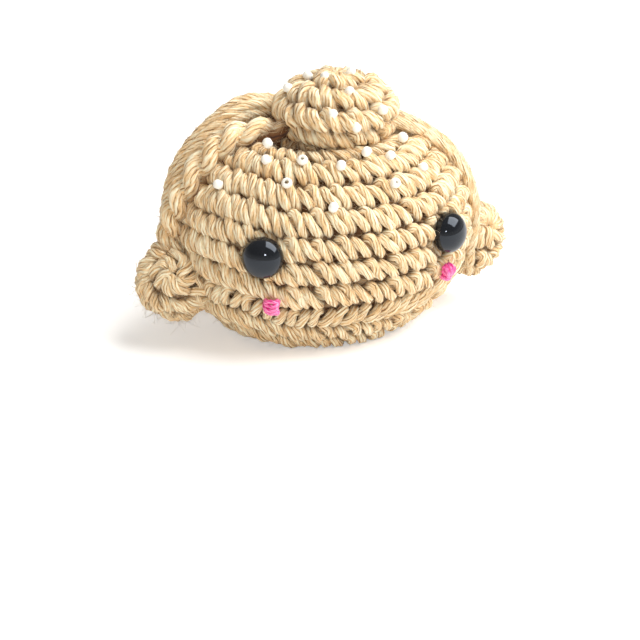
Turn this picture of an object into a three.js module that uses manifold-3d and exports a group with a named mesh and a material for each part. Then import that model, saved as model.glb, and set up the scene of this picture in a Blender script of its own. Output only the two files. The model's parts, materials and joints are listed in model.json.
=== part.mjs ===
// A small crocheted sweet-bread bun: stuffed body, knob, side balls, strips, safety eyes and bead sugar.
// Millimetres and degrees. +Z is up, the face looks along -Y, the origin is the middle of the flat base.
import * as THREE from "three";
import { mergeVertices } from "three/addons/utils/BufferGeometryUtils.js";
import Module from "manifold-3d";

const wasm = await Module();
wasm.setup();

// Body: an oval form that stands on a flat base
const BODY_HALF_WIDTH = 30.5;
const BODY_HALF_DEPTH = 22.8;
const BODY_HALF_HEIGHT = 24.7;
const BASE_FLATTENING = 4.3;
const COVER_WALL = 3;
const CLEARANCE = 0.3;

// Crochet: the edges of the rows, as latitudes from the crown down, and the size of one stitch
const BODY_ROWS = [72, 60, 49.5, 39.6, 30.2, 21, 11.6, 0.8, -11.5, -25, -38.5, -52, -66];
const KNOB_ROWS = [87, 55, 22, -12, -46, -72];
const BALL_ROWS = [84, 46, 10, -26, -60, -85];
const STITCH_WIDTH = 5;
const STITCH_RELIEF = 1.5;
const FEWEST_STITCHES = 5;
const ROW_START = 0.32;
const ROW_LEAN = 0.38;

// Rings of one stitch: the place down the row, then places along the stitch with their share of the relief
const STITCH_RINGS = [
  { down: 0, points: [[0.5, 1]] },
  { down: 0.33, points: [[0, 0], [0.35, 0], [0.68, 0.7]] },
  { down: 0.7, points: [[0.2, 0], [0.7, 0], [0.95, 0.7]] },
];

// Seam between dome and base
const SEAM_HEIGHT = 6;
const SEAM_YARN_RADIUS = 1;

// Knob, pulled down into the crown by its stitches
const KNOB_HALF_WIDTH = 11.7;
const KNOB_HALF_HEIGHT = 7.3;
const KNOB_WALL = 2.4;
const KNOB_SEAT_DEPTH = 3.084;
const KNOB_OFF_CENTRE = 2.1;
const KNOB_OPENING_RADIUS = 4.5;

// Side balls, cups whose open side is sewn to the dome
const BALL_RADIUS = 7.8;
const BALL_WALL = 2.2;
const LEFT_BALL_HEIGHT = 13.3;
const RIGHT_BALL_HEIGHT = 14.2;
const BALL_STAND_OFF = 1.8;
const BALL_START = { x: 0.42, y: -0.72, z: 0.55 };

// Yarn that sews the knob and the balls on
const SEWING_YARN = 1.4;

// Strips from the knob down to the balls, each with a front and a rear ridge: the rise is the rear ridge's height
// over the front one, the depths lie behind the middle, and the drop is below the top of the ball
const LEFT_STRIP = { width: 8.6, height: 3.3, rise: 0.9, headDepth: 4, footDepth: 4, drop: 0 };
const RIGHT_STRIP = { width: 5.2, height: 2, rise: 0, headDepth: -4, footDepth: -6, drop: 4 };
const STRIP_GROOVE = 1.5;
const STRIP_ROOT = 3.4;

// Safety eyes and their locking washers
const EYE_RADIUS = 4;
const EYE_DOME = 3.1;
const EYE_RIM = 0.9;
const EYE_SUNK = 0.8;
const EYE_AZIMUTH = 39.6;
const EYE_LATITUDE = 6.4;
const STEM_RADIUS = 1.6;
const STEM_RIDGE = 0.25;
const STEM_RIDGES = 4;
const STEM_LENGTH = 10.5;
const WASHER_RADIUS = 5;
const WASHER_DISC = 1.2;
const WASHER_COLLAR_RADIUS = 3.2;
const WASHER_COLLAR = 1.4;

// Cheeks, knots of floss
const CHEEK_KNOT_RADIUS = 1.75;
const CHEEK_KNOT_HEIGHT = 2.1;
const CHEEK_WRAPS = 3;
const CHEEK_WRAP_RELIEF = 0.3;
const FLOSS_TAIL_RADIUS = 0.6;
const STOP_KNOT_RADIUS = 1.3;
const CHEEKS = [
  { name: "left_cheek_knot", azimuth: -35.5, latitude: -15.5 },
  { name: "right_cheek_knot", azimuth: 36.6, latitude: -11.5 },
];

// Seed beads: azimuth and latitude of each, and whether its hole faces out or it lies on its side
const BEAD_RADIUS = 1.12;
const BEAD_HOLE_RADIUS = 0.42;
const BEAD_LENGTH = 1.6;
const DOME_BEADS = [
  [-59, 57, "side"],
  [-53, 50, "side"],
  [-30, 51, "out"],
  [-35, 40, "out"],
  [-72, 34, "side"],
  [-13, 29, "side"],
  [-8, 48, "side"],
  [9, 53, "side"],
  [23, 49, "side"],
  [44, 55, "out"],
  [17, 36, "out"],
  [39, 39, "side"],
  [113, 44, "side"],
  [136, 51, "side"],
  [128, 34, "out"],
  [153, 44, "side"],
  [160, 30, "side"],
  [174, 50, "out"],
  [190, 38, "side"],
  [203, 54, "side"],
  [221, 32, "out"],
  [226, 47, "side"],
];
const KNOB_BEADS = [
  [-98, 37, "side"],
  [-117, 61, "side"],
  [-69, 75, "side"],
  [47, 76, "side"],
  [-2, 51, "side"],
  [-25, 21, "side"],
  [-3, 3, "side"],
  [30, 18, "side"],
];

// Facets
const BODY_SIDES = 28;
const BODY_STEPS = 12;
const SMALL_SIDES = 18;
const SMALL_STEPS = 8;
const FINE_SIDES = 16;
const DOME_STEPS = 4;
const BEAD_SIDES = 7;
const YARN_SIDES = 6;
const STRIP_STEPS = 18;
const STRIP_POINTS = 8;
const SEATING_STEPS = 4;
const MERGE_DISTANCE = 1e-4;

// Places that follow from the sizes
const BODY_CENTRE = new THREE.Vector3(0, 0, BODY_HALF_HEIGHT - BASE_FLATTENING);
const BODY_HALF = new THREE.Vector3(BODY_HALF_WIDTH, BODY_HALF_DEPTH, BODY_HALF_HEIGHT);
const CROWN_HEIGHT = BODY_CENTRE.z + BODY_HALF_HEIGHT;
const KNOB_HALF = new THREE.Vector3(KNOB_HALF_WIDTH, KNOB_HALF_WIDTH, KNOB_HALF_HEIGHT);
const SEAT_MARGIN = SEWING_YARN + CLEARANCE;
const SEAT_RIM_HEIGHT = bodyHeightInFront(KNOB_HALF_WIDTH + SEAT_MARGIN);
const KNOB_HEIGHT = SEAT_RIM_HEIGHT + KNOB_HALF_HEIGHT - KNOB_SEAT_DEPTH;
const KNOB_CENTRE = new THREE.Vector3(KNOB_OFF_CENTRE, 0, KNOB_HEIGHT);
const BALL_HALF = new THREE.Vector3(BALL_RADIUS, BALL_RADIUS, BALL_RADIUS);
const UP = new THREE.Vector3(0, 0, 1);
const SIDES = [
  { name: "left", sign: -1, ballHeight: LEFT_BALL_HEIGHT, strip: LEFT_STRIP },
  { name: "right", sign: 1, ballHeight: RIGHT_BALL_HEIGHT, strip: RIGHT_STRIP },
];

// Materials
const yarn = () => new THREE.MeshStandardMaterial({ color: 0xd8bf99, roughness: 0.95, metalness: 0 });
const filling = () => new THREE.MeshStandardMaterial({ color: 0xf4f1ea, roughness: 1, metalness: 0 });
const blackPlastic = () => new THREE.MeshStandardMaterial({ color: 0x0c0d0f, roughness: 0.08, metalness: 0 });
const clearPlastic = () => new THREE.MeshStandardMaterial({ color: 0xe6e6e2, roughness: 0.4, metalness: 0 });
const pinkFloss = () => new THREE.MeshStandardMaterial({ color: 0xf0359a, roughness: 0.45, metalness: 0 });
const whiteGlass = () => new THREE.MeshStandardMaterial({ color: 0xfbf8ee, roughness: 0.15, metalness: 0 });

const toy = new THREE.Group();
toy.name = "amigurumi_bread";

function addPiece(name, geometry, material, frame = new THREE.Matrix4()) {
  const mesh = new THREE.Mesh(geometry, material);
  mesh.name = name;
  frame.decompose(mesh.position, mesh.quaternion, mesh.scale);
  toy.add(mesh);
}

// Solids

function bodyHalfWidthAt(height) {
  const share = (height - BODY_CENTRE.z) / BODY_HALF_HEIGHT;
  return BODY_HALF_WIDTH * Math.sqrt(1 - share * share);
}

function bodyHeightInFront(depth) {
  const share = depth / BODY_HALF_DEPTH;
  return BODY_CENTRE.z + BODY_HALF_HEIGHT * Math.sqrt(1 - share * share);
}

function toSolid(geometry) {
  const bare = new THREE.BufferGeometry();
  bare.setAttribute("position", geometry.getAttribute("position"));
  bare.setIndex(geometry.index);
  const merged = mergeVertices(bare, MERGE_DISTANCE);
  const corners = merged.index.array;
  const triangles = [];
  for (let i = 0; i < corners.length; i += 3) {
    const [a, b, c] = corners.subarray(i, i + 3);
    if (a !== b && b !== c && c !== a) {
      triangles.push(a, b, c);
    }
  }
  const vertProperties = new Float32Array(merged.getAttribute("position").array);
  const triVerts = new Uint32Array(triangles);
  return new wasm.Manifold(new wasm.Mesh({ numProp: 3, vertProperties, triVerts }));
}

function toGeometry(solid) {
  const mesh = solid.getMesh();
  const geometry = new THREE.BufferGeometry();
  geometry.setAttribute("position", new THREE.BufferAttribute(mesh.vertProperties, mesh.numProp));
  geometry.setIndex(new THREE.BufferAttribute(mesh.triVerts, 1));
  geometry.computeVertexNormals();
  return geometry;
}

// A revolve about +Z of a profile of [radius, height] pairs that runs upwards on its outer side.
function revolve(profile, sides) {
  const points = profile.map(([radius, height]) => new THREE.Vector2(radius, height));
  return new THREE.LatheGeometry(points, sides).rotateX(Math.PI / 2);
}

// A plain oval form
function oval(half, { steps, sides }) {
  const profile = [];
  for (let i = 0; i <= steps; i += 1) {
    const latitude = Math.PI * (i / steps - 0.5);
    const radius = i === 0 || i === steps ? 0 : half.x * Math.cos(latitude);
    profile.push([radius, half.z * Math.sin(latitude)]);
  }
  return revolve(profile, sides).scale(1, half.y / half.x, 1);
}

const BODY_FACETS = { steps: BODY_STEPS, sides: BODY_SIDES };
const SMALL_FACETS = { steps: SMALL_STEPS, sides: SMALL_SIDES };

function grown(half, distance) {
  return half.clone().addScalar(distance);
}

function ovalAt(centre, half, facets) {
  return toSolid(oval(half, facets).translate(centre.x, centre.y, centre.z));
}

// A room round an oval keeps its flats, and not only its corners, at the distance asked for.
function roomAround(centre, half, facets) {
  const flat = Math.cos(Math.PI / facets.sides) * Math.cos(Math.PI / (2 * facets.steps));
  return ovalAt(centre, half.clone().divideScalar(flat), facets);
}

// The hollow that the knob's stitches pull into the crown, with room beside the knob for its sewing yarn.
function seatRoom(distance) {
  const half = new THREE.Vector3(SEAT_MARGIN, SEAT_MARGIN, 0).add(KNOB_HALF);
  return roomAround(KNOB_CENTRE, grown(half, distance), SMALL_FACETS);
}

const bodyRoom = (distance) => roomAround(BODY_CENTRE, grown(BODY_HALF, distance), BODY_FACETS);
const knobRoom = (distance) => roomAround(KNOB_CENTRE, grown(KNOB_HALF, distance), SMALL_FACETS);
const ballRoom = (centre, distance) => roomAround(centre, grown(BALL_HALF, distance), SMALL_FACETS);

// Crochet: rows of stitches round an oval, each row with as many stitches as fit

function ovalPoint(half, turn, latitude, depth) {
  const level = Math.cos(latitude);
  const direction = new THREE.Vector3(level * Math.sin(turn), -level * Math.cos(turn), Math.sin(latitude));
  return direction.multiply(grown(half, -depth));
}

function girthAt(half, latitude) {
  const wide = half.x * Math.cos(latitude);
  const deep = half.y * Math.cos(latitude);
  return Math.PI * (3 * (wide + deep) - Math.sqrt((3 * wide + deep) * (wide + 3 * deep)));
}

function stitchRing(half, { down, points }, { top, bottom, stitches, start }) {
  const latitude = THREE.MathUtils.degToRad(top + (bottom - top) * down);
  const ring = [];
  for (let stitch = 0; stitch < stitches; stitch += 1) {
    for (const [along, share] of points) {
      const turn = 2 * Math.PI * (((stitch + start + along) / stitches) % 1);
      ring.push({ turn, place: ovalPoint(half, turn, latitude, share * STITCH_RELIEF) });
    }
  }
  return ring.sort((a, b) => a.turn - b.turn);
}

function stitchRings(half, rows) {
  return rows.slice(1).flatMap((bottom, index) => {
    const top = rows[index];
    const girth = girthAt(half, THREE.MathUtils.degToRad((top + bottom) / 2));
    const stitches = Math.max(FEWEST_STITCHES, Math.round(girth / STITCH_WIDTH));
    const row = { top, bottom, stitches, start: ROW_START + index * ROW_LEAN };
    return STITCH_RINGS.map((ring) => stitchRing(half, ring, row));
  });
}

// Triangles between two rings of points that are sorted by turn, the upper ring's points numbered from first.
function joinRings(upper, lower, first) {
  const turnAt = (ring, i) => ring[i % ring.length].turn + 2 * Math.PI * Math.floor(i / ring.length);
  const above = (i) => first + (i % upper.length);
  const below = (j) => first + upper.length + (j % lower.length);
  const faces = [];
  let i = 0;
  let j = 0;
  while (i < upper.length || j < lower.length) {
    const upperNext = i < upper.length ? turnAt(upper, i + 1) : Infinity;
    const lowerNext = j < lower.length ? turnAt(lower, j + 1) : Infinity;
    if (upperNext < lowerNext) {
      faces.push(above(i), below(j), above(i + 1));
      i += 1;
    } else {
      faces.push(above(i), below(j), below(j + 1));
      j += 1;
    }
  }
  return faces;
}

// A crocheted oval whose rows run round the pole.
function crocheted(centre, half, rows, pole = UP) {
  const cap = (sign) => [{ turn: 0, place: new THREE.Vector3(0, 0, sign * (half.z - STITCH_RELIEF)) }];
  const rings = [cap(1), ...stitchRings(half, rows), cap(-1)];
  const faces = [];
  let first = 0;
  for (let i = 1; i < rings.length; i += 1) {
    faces.push(...joinRings(rings[i - 1], rings[i], first));
    first += rings[i - 1].length;
  }
  const geometry = new THREE.BufferGeometry().setFromPoints(rings.flat().map(({ place }) => place));
  geometry.setIndex(faces);
  geometry.applyQuaternion(new THREE.Quaternion().setFromUnitVectors(UP, pole));
  return toSolid(geometry.translate(centre.x, centre.y, centre.z));
}

function slab(low, high) {
  const span = 4 * (BODY_HALF_WIDTH + BALL_RADIUS);
  const box = new THREE.BoxGeometry(span, span, high - low).translate(0, 0, (low + high) / 2);
  return toSolid(box);
}

// A frame on an oval surface with +Z along the outward normal and its origin lifted off the surface.
function surfaceFrame(centre, half, azimuth, latitude, lift = 0) {
  const turn = THREE.MathUtils.degToRad(azimuth);
  const rise = THREE.MathUtils.degToRad(latitude);
  const level = Math.cos(rise);
  const direction = new THREE.Vector3(level * Math.sin(turn), -level * Math.cos(turn), Math.sin(rise));
  const normal = direction.clone().divide(half).normalize();
  const place = direction.multiply(half).add(centre).addScaledVector(normal, lift);
  const facing = new THREE.Quaternion().setFromUnitVectors(new THREE.Vector3(0, 0, 1), normal);
  return new THREE.Matrix4().compose(place, facing, new THREE.Vector3(1, 1, 1));
}

// Eyes: heights are along the eye's axis, with zero at the cover's outer surface

const EYE_BACK = -EYE_SUNK;
const WASHER_FACE = -COVER_WALL;
const STEM_END = EYE_BACK - STEM_LENGTH;
const STEM_BORE = STEM_RADIUS + STEM_RIDGE + CLEARANCE;

function eyeProfile() {
  const profile = [[0, STEM_END]];
  const ridgePitch = STEM_LENGTH / (STEM_RIDGES + 1);
  for (let i = 0; i < STEM_RIDGES; i += 1) {
    const foot = STEM_END + i * ridgePitch;
    profile.push([STEM_RADIUS, foot], [STEM_RADIUS + STEM_RIDGE, foot + ridgePitch]);
  }
  profile.push([STEM_RADIUS, STEM_END + STEM_RIDGES * ridgePitch]);
  profile.push([STEM_RADIUS, EYE_BACK], [EYE_RADIUS - EYE_RIM / 2, EYE_BACK]);
  profile.push([EYE_RADIUS, EYE_BACK + EYE_RIM / 2]);
  for (let i = 0; i <= DOME_STEPS; i += 1) {
    const rise = (Math.PI / 2) * (i / DOME_STEPS);
    const radius = i === DOME_STEPS ? 0 : EYE_RADIUS * Math.cos(rise);
    profile.push([radius, EYE_BACK + EYE_RIM + EYE_DOME * Math.sin(rise)]);
  }
  return profile;
}

function washerProfile() {
  const disc = WASHER_FACE - WASHER_DISC;
  const collar = disc - WASHER_COLLAR;
  return [
    [STEM_BORE, WASHER_FACE],
    [STEM_BORE, collar],
    [WASHER_COLLAR_RADIUS, collar],
    [WASHER_COLLAR_RADIUS, disc],
    [WASHER_RADIUS, disc],
    [WASHER_RADIUS, WASHER_FACE],
    [STEM_BORE, WASHER_FACE],
  ];
}

// The room that an eye and its washer need in the cover and in the filling.
function eyeRoom() {
  const washerBack = WASHER_FACE - WASHER_DISC - WASHER_COLLAR - CLEARANCE;
  const front = EYE_BACK + EYE_RIM + EYE_DOME;
  return [
    [0, STEM_END - CLEARANCE],
    [STEM_BORE, STEM_END - CLEARANCE],
    [STEM_BORE, washerBack],
    [WASHER_RADIUS + CLEARANCE, washerBack],
    [WASHER_RADIUS + CLEARANCE, WASHER_FACE + CLEARANCE],
    [STEM_BORE, WASHER_FACE + CLEARANCE],
    [STEM_BORE, EYE_BACK - CLEARANCE],
    [EYE_RADIUS + CLEARANCE, EYE_BACK - CLEARANCE],
    [EYE_RADIUS + CLEARANCE, front],
    [0, front],
  ];
}

const EYES = SIDES.map(({ name, sign }) => ({
  name: `${name}_eye`,
  frame: surfaceFrame(BODY_CENTRE, BODY_HALF, sign * EYE_AZIMUTH, EYE_LATITUDE),
}));

function addEyes() {
  for (const { name, frame } of EYES) {
    addPiece(name, revolve(eyeProfile(), FINE_SIDES), blackPlastic(), frame);
    addPiece(`${name}_washer`, revolve(washerProfile(), FINE_SIDES), clearPlastic(), frame);
  }
}

// Cheeks: a wrapped knot on the cover, its tail through the cover and a stop knot behind

const STOP_KNOT_FACE = -COVER_WALL - CLEARANCE;

function stopKnot(radius, face) {
  return [
    [0, face - 2 * radius],
    [radius * Math.SQRT1_2, face - radius - radius * Math.SQRT1_2],
    [radius, face - radius],
  ];
}

function cheekProfile() {
  const profile = stopKnot(STOP_KNOT_RADIUS, STOP_KNOT_FACE);
  profile.push([FLOSS_TAIL_RADIUS, STOP_KNOT_FACE], [FLOSS_TAIL_RADIUS, CLEARANCE]);
  const wrap = CHEEK_KNOT_HEIGHT / CHEEK_WRAPS;
  for (let i = 0; i < CHEEK_WRAPS; i += 1) {
    const foot = CLEARANCE + i * wrap;
    const radius = CHEEK_KNOT_RADIUS - (i * CHEEK_WRAP_RELIEF) / 2;
    profile.push([radius - CHEEK_WRAP_RELIEF, foot], [radius, foot + wrap / 2]);
  }
  profile.push([CHEEK_KNOT_RADIUS / 2, CLEARANCE + CHEEK_KNOT_HEIGHT], [0, CLEARANCE + CHEEK_KNOT_HEIGHT]);
  return profile;
}

function cheekRoom() {
  const bore = FLOSS_TAIL_RADIUS + CLEARANCE;
  const pocket = STOP_KNOT_RADIUS + CLEARANCE;
  const back = STOP_KNOT_FACE - 2 * STOP_KNOT_RADIUS - CLEARANCE;
  return [
    [0, back],
    [pocket, back],
    [pocket, -COVER_WALL],
    [bore, -COVER_WALL],
    [bore, CLEARANCE],
    [0, CLEARANCE],
  ];
}

const CHEEK_FRAMES = CHEEKS.map(({ name, azimuth, latitude }) => ({
  name,
  frame: surfaceFrame(BODY_CENTRE, BODY_HALF, azimuth, latitude),
}));

function addCheeks() {
  for (const { name, frame } of CHEEK_FRAMES) {
    addPiece(name, revolve(cheekProfile(), FINE_SIDES / 2), pinkFloss(), frame);
  }
}

// Body: a shell split at the seam, with room for the knob, the eyes and the cheeks

function fittingRooms() {
  const room = (profile, frame) => toSolid(revolve(profile, FINE_SIDES).applyMatrix4(frame));
  const eyeRooms = EYES.map(({ frame }) => room(eyeRoom(), frame));
  const cheekRooms = CHEEK_FRAMES.map(({ frame }) => room(cheekRoom(), frame));
  return [...eyeRooms, ...cheekRooms];
}

// The seam yarn lies flush in a notch between dome and base.
function seamRing(radius) {
  const reach = bodyHalfWidthAt(SEAM_HEIGHT) - SEAM_YARN_RADIUS;
  const profile = [];
  for (let i = 0; i <= YARN_SIDES; i += 1) {
    const turn = (2 * Math.PI * (i % YARN_SIDES)) / YARN_SIDES;
    profile.push([reach + radius * Math.cos(turn), SEAM_HEIGHT + radius * Math.sin(turn)]);
  }
  return revolve(profile, BODY_SIDES).scale(1, BODY_HALF_DEPTH / BODY_HALF_WIDTH, 1);
}

// An oval body cut flat at its base and hollowed at the crown for the knob.
function standing(form, inset) {
  return form.intersect(slab(inset, 2 * CROWN_HEIGHT)).subtract(seatRoom(CLEARANCE + inset));
}

const bodyInside = (inset) => standing(ovalAt(BODY_CENTRE, grown(BODY_HALF, -inset), BODY_FACETS), inset);

function addBody() {
  const rooms = fittingRooms();
  const withRooms = (solid) => rooms.reduce((rest, room) => rest.subtract(room), solid);
  const outside = standing(crocheted(BODY_CENTRE, BODY_HALF, BODY_ROWS), 0);
  const hollow = bodyInside(COVER_WALL);
  const notch = toSolid(seamRing(SEAM_YARN_RADIUS + CLEARANCE));
  const shell = withRooms(outside.subtract(hollow).subtract(notch));
  const dome = shell.intersect(slab(SEAM_HEIGHT + CLEARANCE / 2, 2 * CROWN_HEIGHT));
  const base = shell.intersect(slab(-BASE_FLATTENING, SEAM_HEIGHT - CLEARANCE / 2));
  const stuffing = withRooms(bodyInside(COVER_WALL + CLEARANCE));
  addPiece("dome_cover", toGeometry(dome), yarn());
  addPiece("base_cover", toGeometry(base), yarn());
  addPiece("rim_seam_yarn", seamRing(SEAM_YARN_RADIUS), yarn());
  addPiece("body_stuffing", toGeometry(stuffing), filling());
  return dome;
}

// Knob: a crocheted cup, open below, that sits in the hollow of the crown

function addKnob() {
  const outside = crocheted(KNOB_CENTRE, KNOB_HALF, KNOB_ROWS);
  const knobInside = (inset) => ovalAt(KNOB_CENTRE, grown(KNOB_HALF, -inset), SMALL_FACETS);
  const mouthTop = KNOB_CENTRE.z;
  const mouthFoot = KNOB_CENTRE.z - 2 * KNOB_HALF_HEIGHT;
  const mouthProfile = [
    [0, mouthFoot],
    [KNOB_OPENING_RADIUS, mouthFoot],
    [KNOB_OPENING_RADIUS, mouthTop],
    [0, mouthTop],
  ];
  const mouth = toSolid(revolve(mouthProfile, SMALL_SIDES).translate(KNOB_CENTRE.x, KNOB_CENTRE.y, 0));
  const cover = outside.subtract(knobInside(KNOB_WALL)).subtract(mouth);
  addPiece("top_knob_cover", toGeometry(cover), yarn());
  addPiece("top_knob_stuffing", toGeometry(knobInside(KNOB_WALL + CLEARANCE)), filling());
  const crease = seatRoom(0).subtract(knobRoom(CLEARANCE));
  const sewing = crease.intersect(slab(SEAT_RIM_HEIGHT - 2 * SEWING_YARN, SEAT_RIM_HEIGHT));
  addPiece("top_knob_sewing_yarn", toGeometry(sewing), yarn());
  return cover;
}

// Side balls

function ballCentre({ sign, ballHeight }) {
  return new THREE.Vector3(sign * (bodyHalfWidthAt(ballHeight) + BALL_STAND_OFF), 0, ballHeight);
}

function addBalls() {
  const body = bodyRoom(CLEARANCE);
  const onBody = bodyRoom(CLEARANCE + SEWING_YARN).subtract(body);
  for (const side of SIDES) {
    const { name, sign } = side;
    const centre = ballCentre(side);
    const pole = new THREE.Vector3(sign * BALL_START.x, BALL_START.y, BALL_START.z).normalize();
    const ballInside = (inset) => ovalAt(centre, grown(BALL_HALF, -inset), SMALL_FACETS);
    const cover = crocheted(centre, BALL_HALF, BALL_ROWS, pole).subtract(ballInside(BALL_WALL)).subtract(body);
    const stuffing = ballInside(BALL_WALL + CLEARANCE).subtract(body);
    addPiece(`${name}_ball_cover`, toGeometry(cover), yarn());
    addPiece(`${name}_ball_stuffing`, toGeometry(stuffing), filling());
    const aroundBall = ballRoom(centre, CLEARANCE + SEWING_YARN).subtract(ballRoom(centre, CLEARANCE));
    const sewing = aroundBall.intersect(onBody);
    addPiece(`${name}_ball_sewing_yarn`, toGeometry(sewing), yarn());
  }
}

// Strips: a section with two ridges, swept over the dome and cut to fit the body, the knob and the ball

function stripSection({ width, height, rise }) {
  const points = [];
  for (let i = 0; i <= STRIP_POINTS; i += 1) {
    const share = i / STRIP_POINTS;
    const ridge = Math.sqrt(Math.abs(Math.sin(2 * Math.PI * share)));
    points.push([(share - 0.5) * width, height + rise * share - STRIP_GROOVE * (1 - ridge)]);
  }
  points.push([width / 2, -STRIP_ROOT], [-width / 2, -STRIP_ROOT]);
  return points;
}

function sweptStrip({ sign, ballHeight, strip }) {
  const section = stripSection(strip);
  const foot = ballHeight + BALL_RADIUS - strip.drop;
  const low = Math.asin((foot - BODY_CENTRE.z) / BODY_HALF_HEIGHT);
  const high = Math.acos(KNOB_HALF_WIDTH / 2 / BODY_HALF_WIDTH);
  const corners = [];
  for (let i = 0; i <= STRIP_STEPS; i += 1) {
    const share = i / STRIP_STEPS;
    const rise = low + (high - low) * share;
    const depth = strip.footDepth + (strip.headDepth - strip.footDepth) * share;
    const slope = new THREE.Vector2(Math.cos(rise) / BODY_HALF_WIDTH, Math.sin(rise) / BODY_HALF_HEIGHT);
    const normal = slope.normalize();
    for (const [across, out] of section) {
      const y = depth + across;
      const reach = Math.sqrt(1 - (y / BODY_HALF_DEPTH) ** 2);
      const x = BODY_HALF_WIDTH * reach * Math.cos(rise) + normal.x * out;
      const z = BODY_CENTRE.z + BODY_HALF_HEIGHT * reach * Math.sin(rise) + normal.y * out;
      corners.push(sign * x, y, z);
    }
  }
  const geometry = new THREE.BufferGeometry();
  geometry.setAttribute("position", new THREE.Float32BufferAttribute(corners, 3));
  const faces = sweepFaces(section, STRIP_STEPS);
  geometry.setIndex(sign > 0 ? faces : faces.reverse());
  return toSolid(geometry);
}

// Triangles of a closed sweep: the section's outline at each end, and two triangles a side between rings.
function sweepFaces(section, steps) {
  const count = section.length;
  const outline = section.map(([across, out]) => new THREE.Vector2(across, out));
  const caps = THREE.ShapeUtils.triangulateShape(outline, []);
  const last = steps * count;
  const faces = [];
  for (const [a, b, c] of caps) {
    faces.push(a, b, c, last + a, last + c, last + b);
  }
  for (let ring = 0; ring < steps; ring += 1) {
    for (let i = 0; i < count; i += 1) {
      const here = ring * count + i;
      const next = ring * count + ((i + 1) % count);
      faces.push(here, next, here + count, next, next + count, here + count);
    }
  }
  return faces;
}

function addStrips() {
  const body = bodyRoom(CLEARANCE);
  const besideRing = 2 * CLEARANCE + SEWING_YARN;
  const knob = knobRoom(besideRing);
  for (const side of SIDES) {
    const ball = ballRoom(ballCentre(side), besideRing);
    const strip = sweptStrip(side).subtract(body).subtract(knob).subtract(ball);
    addPiece(`${side.name}_strip`, toGeometry(strip), yarn());
  }
}

// Seed beads

function beadGeometry(lying) {
  const end = BEAD_LENGTH / 2;
  const shoulder = (BEAD_RADIUS + BEAD_HOLE_RADIUS) / 2;
  const profile = [
    [BEAD_HOLE_RADIUS, -end],
    [shoulder, -end],
    [BEAD_RADIUS, 0],
    [shoulder, end],
    [BEAD_HOLE_RADIUS, end],
    [BEAD_HOLE_RADIUS, -end],
  ];
  const bead = revolve(profile, BEAD_SIDES);
  return lying === "side" ? bead.rotateX(Math.PI / 2) : bead;
}

// Lowers a bead along its normal until it lies a clearance off the stitches that carry it.
function seatedFrame([azimuth, latitude, lying], { cover, centre, half }) {
  const reach = 2 * BEAD_RADIUS + STITCH_RELIEF;
  let lift = CLEARANCE + BEAD_RADIUS;
  let frame = surfaceFrame(centre, half, azimuth, latitude, lift);
  for (let i = 0; i < SEATING_STEPS; i += 1) {
    const bead = toSolid(beadGeometry(lying).applyMatrix4(frame));
    lift -= bead.minGap(cover, reach) - CLEARANCE;
    frame = surfaceFrame(centre, half, azimuth, latitude, lift);
  }
  return frame;
}

function addBeads(dome, knob) {
  const onDome = DOME_BEADS.map((bead) => ({ bead, carrier: { cover: dome, centre: BODY_CENTRE, half: BODY_HALF } }));
  const onKnob = KNOB_BEADS.map((bead) => ({ bead, carrier: { cover: knob, centre: KNOB_CENTRE, half: KNOB_HALF } }));
  [...onDome, ...onKnob].forEach(({ bead, carrier }, index) => {
    const number = String(index + 1).padStart(2, "0");
    addPiece(`sugar_bead_${number}`, beadGeometry(bead[2]), whiteGlass(), seatedFrame(bead, carrier));
  });
}

const dome = addBody();
const knob = addKnob();
addBalls();
addStrips();
addEyes();
addCheeks();
addBeads(dome, knob);

export default toy;
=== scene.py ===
"""A small crocheted sweet-bread bun in plied yarn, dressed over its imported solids.

Metres. +Z is up and the face looks along -Y. Latitudes and the angles round a ridge are in degrees,
and a turn is in radians from the front towards +X.
"""

import json
import math
import random
from typing import NamedTuple

import bmesh
import bpy
import numpy as np
from mathutils import Matrix, Vector


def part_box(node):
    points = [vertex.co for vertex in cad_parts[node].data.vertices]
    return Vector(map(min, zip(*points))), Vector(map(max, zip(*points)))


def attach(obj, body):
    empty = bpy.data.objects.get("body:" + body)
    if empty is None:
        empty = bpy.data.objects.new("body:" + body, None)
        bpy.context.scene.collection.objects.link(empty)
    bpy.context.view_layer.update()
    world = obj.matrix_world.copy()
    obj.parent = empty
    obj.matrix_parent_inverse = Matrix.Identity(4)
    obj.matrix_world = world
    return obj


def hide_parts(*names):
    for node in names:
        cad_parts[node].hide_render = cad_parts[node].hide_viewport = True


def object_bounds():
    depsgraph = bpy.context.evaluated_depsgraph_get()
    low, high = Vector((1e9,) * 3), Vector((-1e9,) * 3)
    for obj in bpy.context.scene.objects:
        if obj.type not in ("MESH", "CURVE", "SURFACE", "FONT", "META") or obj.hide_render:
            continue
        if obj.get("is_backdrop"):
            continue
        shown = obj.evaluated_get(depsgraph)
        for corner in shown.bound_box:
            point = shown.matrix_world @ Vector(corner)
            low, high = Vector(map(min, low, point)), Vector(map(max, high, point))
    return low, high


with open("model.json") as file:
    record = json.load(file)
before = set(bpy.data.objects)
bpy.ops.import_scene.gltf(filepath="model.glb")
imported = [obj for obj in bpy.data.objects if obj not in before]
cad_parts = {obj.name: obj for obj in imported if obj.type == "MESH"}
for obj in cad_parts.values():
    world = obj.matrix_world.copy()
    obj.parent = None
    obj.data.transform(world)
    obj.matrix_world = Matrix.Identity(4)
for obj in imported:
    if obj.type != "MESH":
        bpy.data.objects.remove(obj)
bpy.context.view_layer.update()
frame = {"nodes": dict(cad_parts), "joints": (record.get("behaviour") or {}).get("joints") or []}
rng = random.Random(7)

MM = 0.001
UP = Vector((0, 0, 1))
RIGHT = Vector((1, 0, 0))
REAR = Vector((0, 1, 0))
SIDES = (("left", -1), ("right", 1))

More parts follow.
